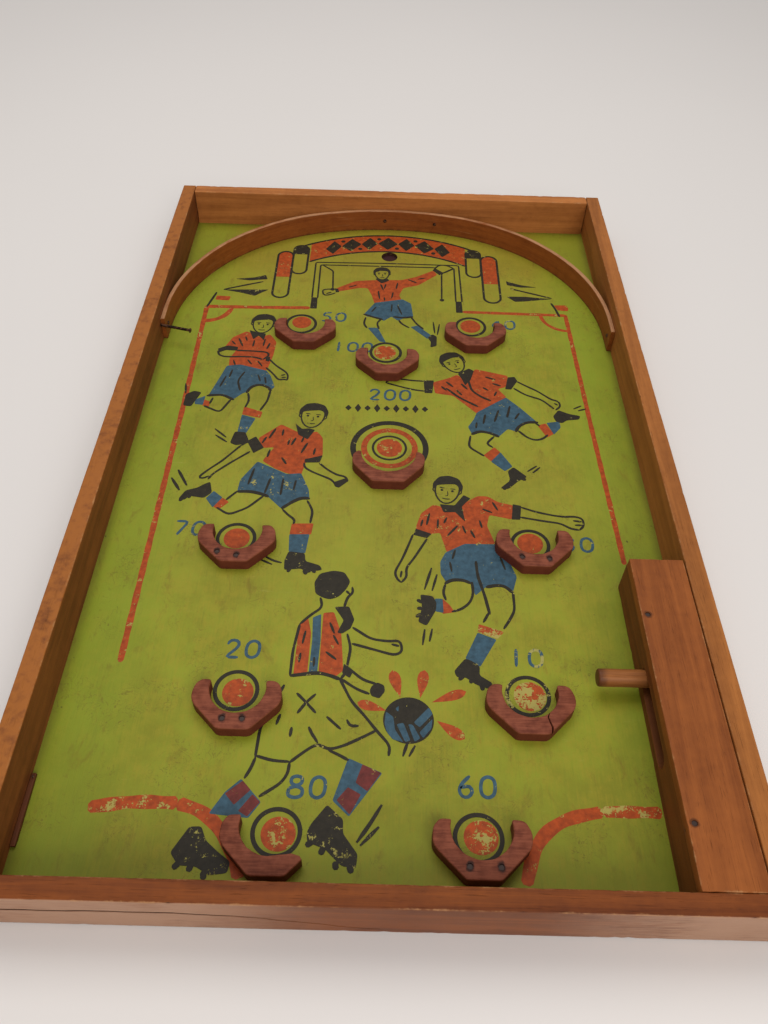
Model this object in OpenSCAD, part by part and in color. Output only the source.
// Tabletop bagatelle board: a shallow wooden tray with a painted playfield, a bent ball guide,
// ten scoring cups and a spring-loaded shooter in a boxed lane on the right.
// X runs across, Y runs from the player to the far end and Z is up.
// The origin is on the underside, in the middle of the frame's footprint.

/* [Frame] */
// Overall width across the side rails
frame_w = 300; // [250:1:360]
// Overall length from the near rail's face to the far end
frame_l = 492; // [420:1:590]
// Height of all four rails
rail_h = 27.5; // [24:0.5:34]
// Thickness of the side rails and the far rail
rail_t = 9; // [7.5:0.5:12]
// Thickness of the near rail, which laps over the side rails' ends
near_rail_t = 8.5; // [7.5:0.5:12]

/* [Playfield board] */
// Thickness of the board, and the height of the rabbet that holds it
board_t = 3; // [2.5:0.1:4]
// How far the rabbet is cut into each rail
rabbet_d = 4; // [3.5:0.1:5]
// Gap between the board's edge and the rabbet
board_fit = 0.15; // [0.05:0.05:0.3]
// Diameter of the blind hole near the far end, in which a ball comes to rest
hole_d = 11; // [8:0.5:14]
// Depth of that hole
hole_depth = 2.2; // [1:0.1:2.3]
// Distance of that hole from the far rail
hole_from_far = 38; // [25:1:60]

/* [Ball guide] */
// Thickness of the bent strip
arch_t = 2.5; // [2:0.1:3.5]
// Height of the bent strip above the board
arch_h = 15; // [12:0.5:18]
// Distance from the centre line to the centre of each shoulder's curve
shoulder_x = 16; // [8:1:30]
// How much larger the radius of the top curve is than the shoulders' radius
crown_extra_r = 65; // [40:1:120]
// Straight length of the strip along each side rail
arch_leg = 11; // [6:1:20]

/* [Ball stop] */
// Diameter of the nail that stops the ball at the guide's left end
stop_d = 1.8; // [1.4:0.1:2.4]
// Length of that nail outside the rail
stop_reach = 20; // [12:1:26]
// Angle of that nail towards the player
stop_angle = 14; // [0:1:25]
// Height of that nail above the board
stop_z = 11; // [8:0.5:13]

/* [Scoring cups] */
// Height of every cup
cup_h = 7; // [5:0.5:10]
// Width of an ordinary cup
cup_w = 39; // [34:0.5:44]
// Length of an ordinary cup, from its near edge to the tips of its arms
cup_l = 23.5; // [21:0.5:28]
// Length of an ordinary cup's straight near edge
cup_edge = 13.5; // [8:0.5:18]
// Radius of the round bite in an ordinary cup
cup_r = 12.5; // [10:0.5:14.5]
// Distance from an ordinary cup's near edge to the middle of its bite
cup_bite_y = 20; // [17:0.5:23]
// Width of the big cup
big_cup_w = 39.5; // [36:0.5:46]
// Length of the big cup
big_cup_l = 22.5; // [20:0.5:27]
// Length of the big cup's straight near edge
big_cup_edge = 17.5; // [12:0.5:22]
// Radius of the round bite in the big cup
big_cup_r = 15; // [12:0.5:16.5]
// Distance from the big cup's near edge to the middle of its bite
big_cup_bite_y = 22.4; // [19:0.1:25]
// Distance from any cup's near edge to where its sides turn straight
cup_side_y = 13; // [10:0.5:15]
// Radius of the outer corner of an ordinary cup's arm
tip_r = 5; // [2:0.5:6]
// Radius of the outer corner of the big cup's arm
big_tip_r = 3; // [1:0.5:4]

/* [Shooter] */
// Width of the ball lane between the shooter wall and the right rail
lane_w = 20.5; // [19:0.5:26]
// Thickness of the shooter wall
wall_t = 5; // [4:0.5:7]
// Length of the shooter wall from the near rail
wall_l = 151; // [135:1:180]
// Thickness of the cover plank
cover_t = 5.5; // [4:0.5:7]
// Length of the cover plank from the near rail
cover_l = 149.5; // [134:0.5:180]
// How far the cover stands past the wall over the playfield
cover_lip = 0.4; // [0:0.1:2]
// Gap between the cover and the right rail
cover_gap = 0.6; // [0.3:0.1:1]
// Diameter of the pull handle's dowel
handle_d = 8; // [6:0.5:10]
// How far the handle stands out over the playfield
handle_reach = 20.5; // [15:0.5:28]
// Height of the handle's axis above the board
handle_z = 9.5; // [8.5:0.5:11]
// Distance of the handle's axis from the near rail, at rest
handle_y = 94.2; // [88:0.2:105]
// How far the handle is pulled towards the player
pull_travel = 37; // [20:1:42]
// Clearance between the handle and the slot, all round
slot_gap = 0.4; // [0.3:0.1:1]
// Length of the sliding block
slider_l = 32; // [28:1:40]
// How far the sliding block reaches past the handle's axis
slider_nose = 11.3; // [8:0.1:16]
// Clearance on each side of the sliding block
slider_gap = 0.4; // [0.3:0.1:0.8]
// Clearance between the sliding block and the cover
slider_top_gap = 1.2; // [0.5:0.1:2.5]
// How deep the handle is set into the sliding block
handle_seat = 13; // [8:0.5:16]

/* [Shooter spring] */
// Outer diameter of the spring
spring_d = 12.6; // [10:0.2:13]
// Diameter of the spring wire
wire_d = 1.1; // [0.8:0.1:1.4]
// Number of turns of the spring
spring_turns = 17; // [10:1:22]
// Clearance at each end of the spring
spring_end_gap = 0.15; // [0.05:0.05:0.3]
// Depth of the pocket for the spring in the sliding block
pocket_l = 10; // [6:0.5:14]
// Radial clearance of the spring in its pocket
pocket_gap = 0.4; // [0.2:0.1:0.6]
// Diameter of the peg that centres the spring on the near rail
peg_d = 8; // [6:0.5:9]
// Length of the peg outside the near rail
peg_reach = 10; // [6:0.5:14]
// Depth of the peg in the near rail
peg_seat = 5; // [3:0.5:6]

/* [Foot strip] */
// Width of the thin strip at the foot of the left rail
strip_w = 2.2; // [1.5:0.1:4]
// Height of that strip
strip_h = 2; // [1:0.1:4]
// Length of that strip
strip_l = 30; // [20:1:50]
// Distance of that strip from the near rail
strip_y = 17.5; // [10:0.5:30]

/* [Nails] */
// Diameter of the small nails in cups, cover, wall, board and guide
brad_d = 1.3; // [1:0.1:1.6]
// Diameter of the small nails' heads
brad_head_d = 2.2; // [1.8:0.1:2.8]
// Diameter of the frame nails
nail_d = 1.6; // [1.2:0.1:2]
// Diameter of the frame nails' heads
nail_head_d = 3.2; // [2.6:0.1:3.6]
// Length of the frame nails
nail_l = 25; // [18:1:30]
// Thickness of all nail heads
head_t = 0.7; // [0.5:0.1:0.9]
// How far nail heads are set below the wood
head_set = 0.5; // [0.2:0.1:0.8]
// Radial clearance of a nail in its hole
nail_fit = 0.02; // [0.01:0.01:0.05]

/* [Hidden] */
$fn = 48;
// Overlap that keeps joined shapes of one piece together
eps = 0.01;
// How far a cutting shape reaches past what it cuts
over = 1;
// Room left between glued or nailed faces
glue_gap = 0.05;

// Colours of the materials
rail_colour = [0.66, 0.42, 0.2];
board_colour = [0.56, 0.6, 0.2];
strip_colour = [0.58, 0.33, 0.18];
dark_colour = [0.4, 0.22, 0.12];
pale_colour = [0.72, 0.52, 0.32];
cup_colour = [0.5, 0.24, 0.2];
nail_colour = [0.45, 0.43, 0.4];
spring_colour = [0.6, 0.6, 0.62];

// Inner faces of the tray
play_x = frame_w / 2 - rail_t;
near_y = -frame_l / 2 + near_rail_t;
far_y = frame_l / 2 - rail_t;
play_l = far_y - near_y;

// Ball guide: two shoulder arcs that run into one flatter crown arc
shoulder_r = play_x - shoulder_x;
crown_r = shoulder_r + crown_extra_r;
crown_y = far_y - crown_r;
shoulder_y = crown_y + sqrt(pow(crown_r - shoulder_r, 2) - pow(shoulder_x, 2));
arch_end_y = shoulder_y - arch_leg;
crown_half_angle = atan2(shoulder_x, shoulder_y - crown_y);
arch_nail_z = board_t + arch_h * 0.5;
crown_nail_xs = [-4, 32];
crown_nail_seat = 6;
leg_nail_from_end = 6;
leg_nail_y = arch_end_y + leg_nail_from_end;
leg_nail_seat = 5;

// Ball stop: how deep it is driven, its gap to the guide's end and its head
stop_seat = 6;
stop_clear = 0.2;
stop_head_ratio = 1.7;

// Foot strip's brad
strip_brad_d = 1;
strip_brad_from_end = 2;
strip_brad_out = 0.4;
strip_brad_proud = 0.5;

// Shooter
wall_x = play_x - lane_w - wall_t;
lane_x = play_x - lane_w / 2;
cover_z = rail_h - cover_t;
handle_axis_y = near_y + handle_y;
handle_axis_z = board_t + handle_z;
slot_r = handle_d / 2 + slot_gap;
slider_far_y = handle_axis_y + slider_nose;
slider_near_y = slider_far_y - slider_l;
slider_w = lane_w - 2 * slider_gap;
slider_h = cover_z - board_t - slider_gap - slider_top_gap;
pocket_y = slider_near_y + pocket_l;
coil_r = (spring_d - wire_d) / 2;
spring_y0 = near_y + spring_end_gap + wire_d / 2;
spring_y1 = pocket_y - spring_end_gap - wire_d / 2;
// Nails down through the cover, in through the right rail and up through the board
cover_nail_ys = [for (along = [24.5, 118]) near_y + along];
cover_side_nail_ys = [for (along = [36, 116]) near_y + along];
wall_nail_ys = [for (along = [15, 137]) near_y + along];
cover_nail_seat = 8;
cover_nail_l = cover_t + cover_nail_seat;
side_nail_seat = 12;
side_nail_l = rail_t + side_nail_seat;
wall_nail_seat = 4;
wall_nail_l = board_t + wall_nail_seat;

// Cups: name, place across (-1 left rail to 1 right rail) and place of the near edge along the
// playfield (0 near rail to 1 far rail)
CUPS = [
    ["cup_10", 0.465, 0.143],
    ["cup_20", -0.436, 0.140],
    ["cup_30", 0.539, 0.331],
    ["cup_40", 0.394, 0.695],
    ["cup_50", -0.372, 0.693],
    ["cup_60", 0.291, 0.016],
    ["cup_70", -0.518, 0.327],
    ["cup_80", -0.291, 0.015],
    ["cup_100", 0, 0.634],
    ["cup_200", 0.014, 0.446]
];
// Nails driven down through cups: cup name, then the place across and along from its near edge
TOP_BRADS = [
    ["cup_70", -8.3, 5.9],
    ["cup_70", 1.3, 3.9],
    ["cup_20", -4.8, 5.0],
    ["cup_20", 3.6, 5.0],
    ["cup_60", -5.4, 5.2],
    ["cup_60", 6.5, 5.2],
    ["cup_30", -7.2, 5.8],
    ["cup_30", 6.2, 5.0]
];
// Cups nailed from under the board, with the nails' distance from the centre and the near edge
UNDER_BRADS = ["cup_10", "cup_40", "cup_50", "cup_80", "cup_100", "cup_200"];
under_brad_x = 5.5;
under_brad_y = 4;
under_brad_seat = 4.5;
under_brad_l = board_t + under_brad_seat;
top_brad_l = cup_h + board_t - 2 * head_set;
// The broken cup keeps what lies on the near side of this line, from its centre and near edge
BREAK_LINE = [[3.5, 7], [6, 8.9], [9, 9.6], [11.5, 8.4], [14.5, 8.7]];

// Nails round the board and at the frame's corners
board_brad_inset = rabbet_d / 2;
board_brad_seat = 8;
board_brad_l = board_t + board_brad_seat;
side_brad_shares = [0.08, 0.36, 0.64, 0.92];
end_brad_shares = [-0.75, 0, 0.75];
frame_nail_zs = [rail_h * 0.36, rail_h * 0.74];

// ---- places --------------------------------------------------------------------------------

function cup_place(cup) = [cup[1] * play_x, near_y + cup[2] * play_l];
function place_of(name) = [for (cup = CUPS) if (cup[0] == name) cup_place(cup)][0];
// How far the guide's outer face curves back from the far rail at a distance across
function crown_drop(x) = crown_r - sqrt(crown_r * crown_r - x * x);

// ---- nails and their holes -------------------------------------------------------------------

// A nail that points along -Z, with the top of its head at the origin
module nail(d, head_d, l) {
    color(nail_colour)
    union() {
        translate([0, 0, -head_t]) cylinder(d = head_d, h = head_t);
        translate([0, 0, -l]) cylinder(d = d, h = l - head_t + eps);
    }
}

// The hole that the same nail goes into, open above its head
module nail_hole(d, head_d, l) {
    translate([0, 0, -head_t - nail_fit])
        cylinder(d = head_d + 2 * nail_fit, h = head_t + nail_fit + over);
    translate([0, 0, -l - nail_fit]) cylinder(d = d + 2 * nail_fit, h = l);
}

module brad(l) nail(brad_d, brad_head_d, l);
module brad_hole(l) nail_hole(brad_d, brad_head_d, l);

// Turns what points along -Z so that it points along another direction
module driven_up() mirror([0, 0, 1]) children();
module driven_far() rotate([90, 0, 0]) children();
module driven_right() rotate([0, -90, 0]) children();
module driven_left() rotate([0, 90, 0]) children();

// Board brads are driven up through the board's edge into the rails' rabbets
module at_board_brads() {
    for (side = [-1, 1], share = side_brad_shares)
        translate([side * (play_x + board_brad_inset), near_y + share * play_l, head_set])
            driven_up() children();
    for (share = end_brad_shares) {
        translate([share * play_x, near_y - board_brad_inset, head_set]) driven_up() children();
        translate([share * play_x, far_y + board_brad_inset, head_set]) driven_up() children();
    }
}

// Frame nails go through the near rail into the side rails, and through those into the far rail
module at_frame_nails() {
    for (side = [-1, 1], z = frame_nail_zs)
        translate([side * (frame_w - rail_t) / 2, -frame_l / 2 + head_set, z]) driven_far() children();
    for (z = frame_nail_zs) {
        translate([-frame_w / 2 + head_set, (frame_l - rail_t) / 2, z]) driven_right() children();
        translate([frame_w / 2 - head_set, (frame_l - rail_t) / 2, z]) driven_left() children();
    }
}

// Brads through the guide: two in the crown and one in each leg
module at_crown_brads() {
    for (x = crown_nail_xs)
        translate([x, far_y - glue_gap - crown_drop(x) - arch_t - head_t - glue_gap, arch_nail_z])
            driven_far() children();
}

module at_leg_brads() {
    leg_x = play_x - glue_gap - arch_t - head_t - glue_gap;
    translate([-leg_x, leg_nail_y, arch_nail_z]) driven_left() children();
    translate([leg_x, leg_nail_y, arch_nail_z]) driven_right() children();
}

module at_top_brads(name = "") {
    for (row = TOP_BRADS)
        if (name == "" || name == row[0]) {
            at = place_of(row[0]);
            translate([at[0] + row[1], at[1] + row[2], board_t + cup_h - head_set]) children();
        }
}

module at_under_brads(name = "") {
    for (cup = UNDER_BRADS)
        if (name == "" || name == cup) {
            at = place_of(cup);
            for (side = [-1, 1])
                translate([at[0] + side * under_brad_x, at[1] + under_brad_y, head_set])
                    driven_up() children();
        }
}

module at_cover_brads() {
    for (y = cover_nail_ys) translate([wall_x + wall_t / 2, y, rail_h - head_set]) children();
}

module at_cover_side_brads() {
    for (y = cover_side_nail_ys)
        translate([frame_w / 2 - head_set, y, cover_z + cover_t / 2]) driven_left() children();
}

module at_wall_brads() {
    for (y = wall_nail_ys) translate([wall_x + wall_t / 2, y, head_set]) driven_up() children();
}

module at_stop() {
    stop_y = arch_end_y - stop_d / 2 - stop_clear;
    translate([-play_x, stop_y, board_t + stop_z]) rotate([0, 0, -stop_angle]) children();
}

// ---- frame -----------------------------------------------------------------------------------

// A side rail: a plank with a rabbet for the board along its lower inner edge
module side_rail(side) {
    length = frame_l - near_rail_t - glue_gap;
    x0 = side > 0 ? play_x : -frame_w / 2;
    rabbet_x = side > 0 ? play_x - over : -play_x - rabbet_d;
    difference() {
        translate([x0, near_y + glue_gap, 0]) cube([rail_t, length, rail_h]);
        translate([rabbet_x, near_y - over, -over])
            cube([rabbet_d + over, play_l + over + rabbet_d, board_t + over]);
        at_board_brads() brad_hole(board_brad_l);
        at_frame_nails() nail_hole(nail_d, nail_head_d, nail_l);
    }
}

module left_rail() {
    color(rail_colour)
    difference() {
        side_rail(-1);
        at_leg_brads() brad_hole(arch_t + leg_nail_seat);
        at_stop() driven_left()
            cylinder(d = stop_d + 2 * nail_fit, h = 2 * (stop_seat + over), center = true);
    }
}

module right_rail() {
    color(rail_colour)
    difference() {
        side_rail(1);
        at_leg_brads() brad_hole(arch_t + leg_nail_seat);
        at_cover_side_brads() brad_hole(side_nail_l);
    }
}

module far_rail() {
    length = 2 * (play_x - glue_gap);
    color(rail_colour)
    difference() {
        translate([-length / 2, far_y, 0]) cube([length, rail_t, rail_h]);
        translate([-frame_w / 2, far_y - over, -over]) cube([frame_w, rabbet_d + over, board_t + over]);
        at_board_brads() brad_hole(board_brad_l);
        at_frame_nails() nail_hole(nail_d, nail_head_d, nail_l);
        at_crown_brads() brad_hole(arch_t + crown_nail_seat);
    }
}

module near_rail() {
    color(rail_colour)
    difference() {
        translate([-frame_w / 2, -frame_l / 2, 0]) cube([frame_w, near_rail_t, rail_h]);
        translate([-play_x - rabbet_d, near_y - rabbet_d, -over])
            cube([2 * (play_x + rabbet_d), rabbet_d + over, board_t + over]);
        at_board_brads() brad_hole(board_brad_l);
        at_frame_nails() nail_hole(nail_d, nail_head_d, nail_l);
        translate([lane_x, near_y - peg_seat, handle_axis_z]) rotate([-90, 0, 0])
            cylinder(d = peg_d + 2 * nail_fit, h = peg_seat + over);
    }
}

module playfield_board() {
    edge = rabbet_d - board_fit;
    color(board_colour)
    difference() {
        translate([-play_x - edge, near_y - edge, 0])
            cube([2 * (play_x + edge), play_l + 2 * edge, board_t]);
        translate([0, far_y - hole_from_far, board_t - hole_depth])
            cylinder(d = hole_d, h = hole_depth + over);
        at_board_brads() brad_hole(board_brad_l);
        at_wall_brads() brad_hole(wall_nail_l);
        at_under_brads() brad_hole(under_brad_l);
        at_top_brads() brad_hole(top_brad_l);
        strip_brad_hole();
    }
}

// ---- ball guide --------------------------------------------------------------------------------

// The area inside the guide's curve, inset from its outer face
module guide_area(inset) {
    // The crown arc touches each shoulder arc at this distance across
    blend_x = (crown_r - glue_gap - inset) * sin(crown_half_angle);
    intersection() {
        translate([0, crown_y]) circle(r = crown_r - glue_gap - inset, $fn = 180);
        union() {
            for (side = [-1, 1]) intersection() {
                translate([side * shoulder_x, shoulder_y])
                    circle(r = shoulder_r - glue_gap - inset, $fn = 180);
                translate([side > 0 ? shoulder_x : -frame_w, shoulder_y - eps])
                    square([frame_w - shoulder_x, frame_l]);
            }
            translate([-blend_x, shoulder_y - eps]) square([2 * blend_x, frame_l]);
            translate([-play_x + glue_gap + inset, arch_end_y - over])
                square([2 * (play_x - glue_gap - inset), arch_leg + over]);
        }
    }
}

module arch_strip() {
    color(strip_colour)
    difference() {
        translate([0, 0, board_t]) linear_extrude(arch_h)
            difference() {
                guide_area(0);
                guide_area(arch_t);
                translate([-frame_w / 2, arch_end_y - 2 * over]) square([frame_w, 2 * over]);
            }
        at_crown_brads() brad_hole(arch_t + crown_nail_seat);
        at_leg_brads() brad_hole(arch_t + leg_nail_seat);
    }
}

// The steel nail at the guide's left end, driven into the rail with its head left standing out
module ball_stop_nail() {
    color(nail_colour)
    at_stop() rotate([0, 90, 0]) union() {
        translate([0, 0, -stop_seat]) cylinder(d = stop_d, h = stop_seat + stop_reach);
        translate([0, 0, stop_reach - head_t]) cylinder(d = stop_d * stop_head_ratio, h = head_t);
    }
}

module at_strip_brad() {
    brad_y = near_y + strip_y + strip_l - strip_brad_from_end;
    translate([-play_x + strip_w / 2 + strip_brad_out, brad_y, board_t]) children();
}

module strip_brad_hole() {
    at_strip_brad()
        cylinder(d = strip_brad_d + 2 * nail_fit, h = 2 * (board_t + strip_h + over), center = true);
}

module foot_strip() {
    color(dark_colour)
    difference() {
        translate([-play_x + glue_gap, near_y + strip_y, board_t]) cube([strip_w, strip_l, strip_h]);
        strip_brad_hole();
    }
}

module foot_strip_brad() {
    color(nail_colour)
    at_strip_brad() translate([0, 0, strip_brad_proud - board_t])
        cylinder(d = strip_brad_d, h = strip_h + board_t);
}

// ---- cups ----------------------------------------------------------------------------------------

// Outline of a cup: a block with cut near corners, rounded arm tips and a round bite, with its
// near edge's middle at the origin
module cup_outline(w, l, edge, bite_r, bite_y, corner_r) {
    difference() {
        union() {
            polygon([
                [-edge / 2, 0], [edge / 2, 0], [w / 2, cup_side_y],
                [w / 2, l - corner_r], [-w / 2, l - corner_r], [-w / 2, cup_side_y]
            ]);
            for (side = [-1, 1])
                translate([side * (w / 2 - corner_r), l - corner_r]) circle(r = corner_r);
            translate([-w / 2 + corner_r, l - corner_r - over]) square([w - 2 * corner_r, corner_r + over]);
        }
        translate([0, bite_y]) circle(r = bite_r, $fn = 96);
        translate([-bite_r, bite_y]) square([2 * bite_r, l]);
    }
}

// What has broken off: all on the far side of the break line, past an ordinary cup's right arm
module broken_off() {
    first = BREAK_LINE[0];
    last = BREAK_LINE[len(BREAK_LINE) - 1];
    polygon(concat(BREAK_LINE, [[cup_w, last[1]], [cup_w, cup_w], [first[0], cup_w]]));
}

module cup(name) {
    at = place_of(name);
    color(cup_colour)
    difference() {
        translate([at[0], at[1], board_t]) linear_extrude(cup_h)
            difference() {
                if (name == "cup_200")
                    cup_outline(big_cup_w, big_cup_l, big_cup_edge, big_cup_r, big_cup_bite_y, big_tip_r);
                else
                    cup_outline(cup_w, cup_l, cup_edge, cup_r, cup_bite_y, tip_r);
                if (name == "cup_80") broken_off();
            }
        at_top_brads(name) brad_hole(top_brad_l);
        at_under_brads(name) brad_hole(under_brad_l);
    }
}

// ---- shooter ---------------------------------------------------------------------------------------

module shooter_wall() {
    color(dark_colour)
    difference() {
        translate([wall_x, near_y + glue_gap, board_t])
            cube([wall_t, wall_l - glue_gap, cover_z - board_t]);
        // slot that the handle slides in, with round ends
        translate([wall_x - over, 0, handle_axis_z]) rotate([0, 90, 0]) {
            translate([0, handle_axis_y, 0]) cylinder(r = slot_r, h = wall_t + 2 * over);
            translate([0, handle_axis_y - pull_travel, 0]) cylinder(r = slot_r, h = wall_t + 2 * over);
        }
        translate([wall_x - over, handle_axis_y - pull_travel, handle_axis_z - slot_r])
            cube([wall_t + 2 * over, pull_travel, 2 * slot_r]);
        at_cover_brads() brad_hole(cover_nail_l);
        at_wall_brads() brad_hole(wall_nail_l);
    }
}

module shooter_cover() {
    color(rail_colour)
    difference() {
        translate([wall_x - cover_lip, near_y + glue_gap, cover_z])
            cube([play_x - cover_gap - wall_x + cover_lip, cover_l - glue_gap, cover_t]);
        at_cover_brads() brad_hole(cover_nail_l);
        at_cover_side_brads() brad_hole(side_nail_l);
    }
}

// The wooden block that strikes the ball, bored for the handle and the spring
module slider_block() {
    color(pale_colour)
    difference() {
        translate([lane_x - slider_w / 2, slider_near_y, board_t + slider_gap])
            cube([slider_w, slider_l, slider_h]);
        translate([lane_x - slider_w / 2 - over, handle_axis_y, handle_axis_z]) rotate([0, 90, 0])
            cylinder(d = handle_d + 2 * nail_fit, h = handle_seat + over);
        translate([lane_x, slider_near_y - over, handle_axis_z]) rotate([-90, 0, 0])
            cylinder(d = spring_d + 2 * pocket_gap, h = pocket_l + over);
    }
}

module pull_handle() {
    reach_x = wall_x - handle_reach;
    seat_x = lane_x - slider_w / 2 + handle_seat - glue_gap;
    color(pale_colour)
    translate([reach_x, handle_axis_y, handle_axis_z]) rotate([0, 90, 0])
        cylinder(d = handle_d, h = seat_x - reach_x);
}

// Compression spring: a round wire swept along a helix, one ring of points per step
module plunger_spring() {
    // Steps per turn, and sides of the wire
    steps = 14;
    sides = 6;
    rings = spring_turns * steps;
    points = [
        for (i = [0 : rings], j = [0 : sides - 1])
            let (
                turn = 360 * i / steps,
                around = 360 * j / sides,
                r = coil_r + wire_d / 2 * cos(around),
                y = spring_y0 + (spring_y1 - spring_y0) * i / rings + wire_d / 2 * sin(around)
            )
            [lane_x + r * cos(turn), y, handle_axis_z + r * sin(turn)]
    ];
    walls = [
        for (i = [0 : rings - 1], j = [0 : sides - 1])
            let (a = i * sides + j, b = i * sides + (j + 1) % sides)
            each [[a, a + sides, b + sides], [a, b + sides, b]]
    ];
    ends = [[for (j = [0 : sides - 1]) j], [for (j = [sides - 1 : -1 : 0]) rings * sides + j]];
    color(spring_colour) polyhedron(points, concat(walls, ends));
}

module spring_peg() {
    color(pale_colour)
    translate([lane_x, near_y - peg_seat + glue_gap, handle_axis_z]) rotate([-90, 0, 0])
        cylinder(d = peg_d, h = peg_seat + peg_reach);
}

// ---- fasteners ---------------------------------------------------------------------------------------

module frame_nails() at_frame_nails() nail(nail_d, nail_head_d, nail_l);
module board_brads() at_board_brads() brad(board_brad_l);
module arch_brads() {
    at_crown_brads() brad(arch_t + crown_nail_seat);
    at_leg_brads() brad(arch_t + leg_nail_seat);
}
module cup_brads() {
    at_top_brads() brad(top_brad_l);
    at_under_brads() brad(under_brad_l);
}
module cover_brads() {
    at_cover_brads() brad(cover_nail_l);
    at_cover_side_brads() brad(side_nail_l);
}
module wall_brads() at_wall_brads() brad(wall_nail_l);

left_rail();
right_rail();
far_rail();
near_rail();
playfield_board();
arch_strip();
ball_stop_nail();
foot_strip();
foot_strip_brad();
shooter_wall();
shooter_cover();
slider_block();
pull_handle();
plunger_spring();
spring_peg();
frame_nails();
board_brads();
arch_brads();
cup_brads();
cover_brads();
wall_brads();
for (cup = CUPS)
    cup(cup[0]);
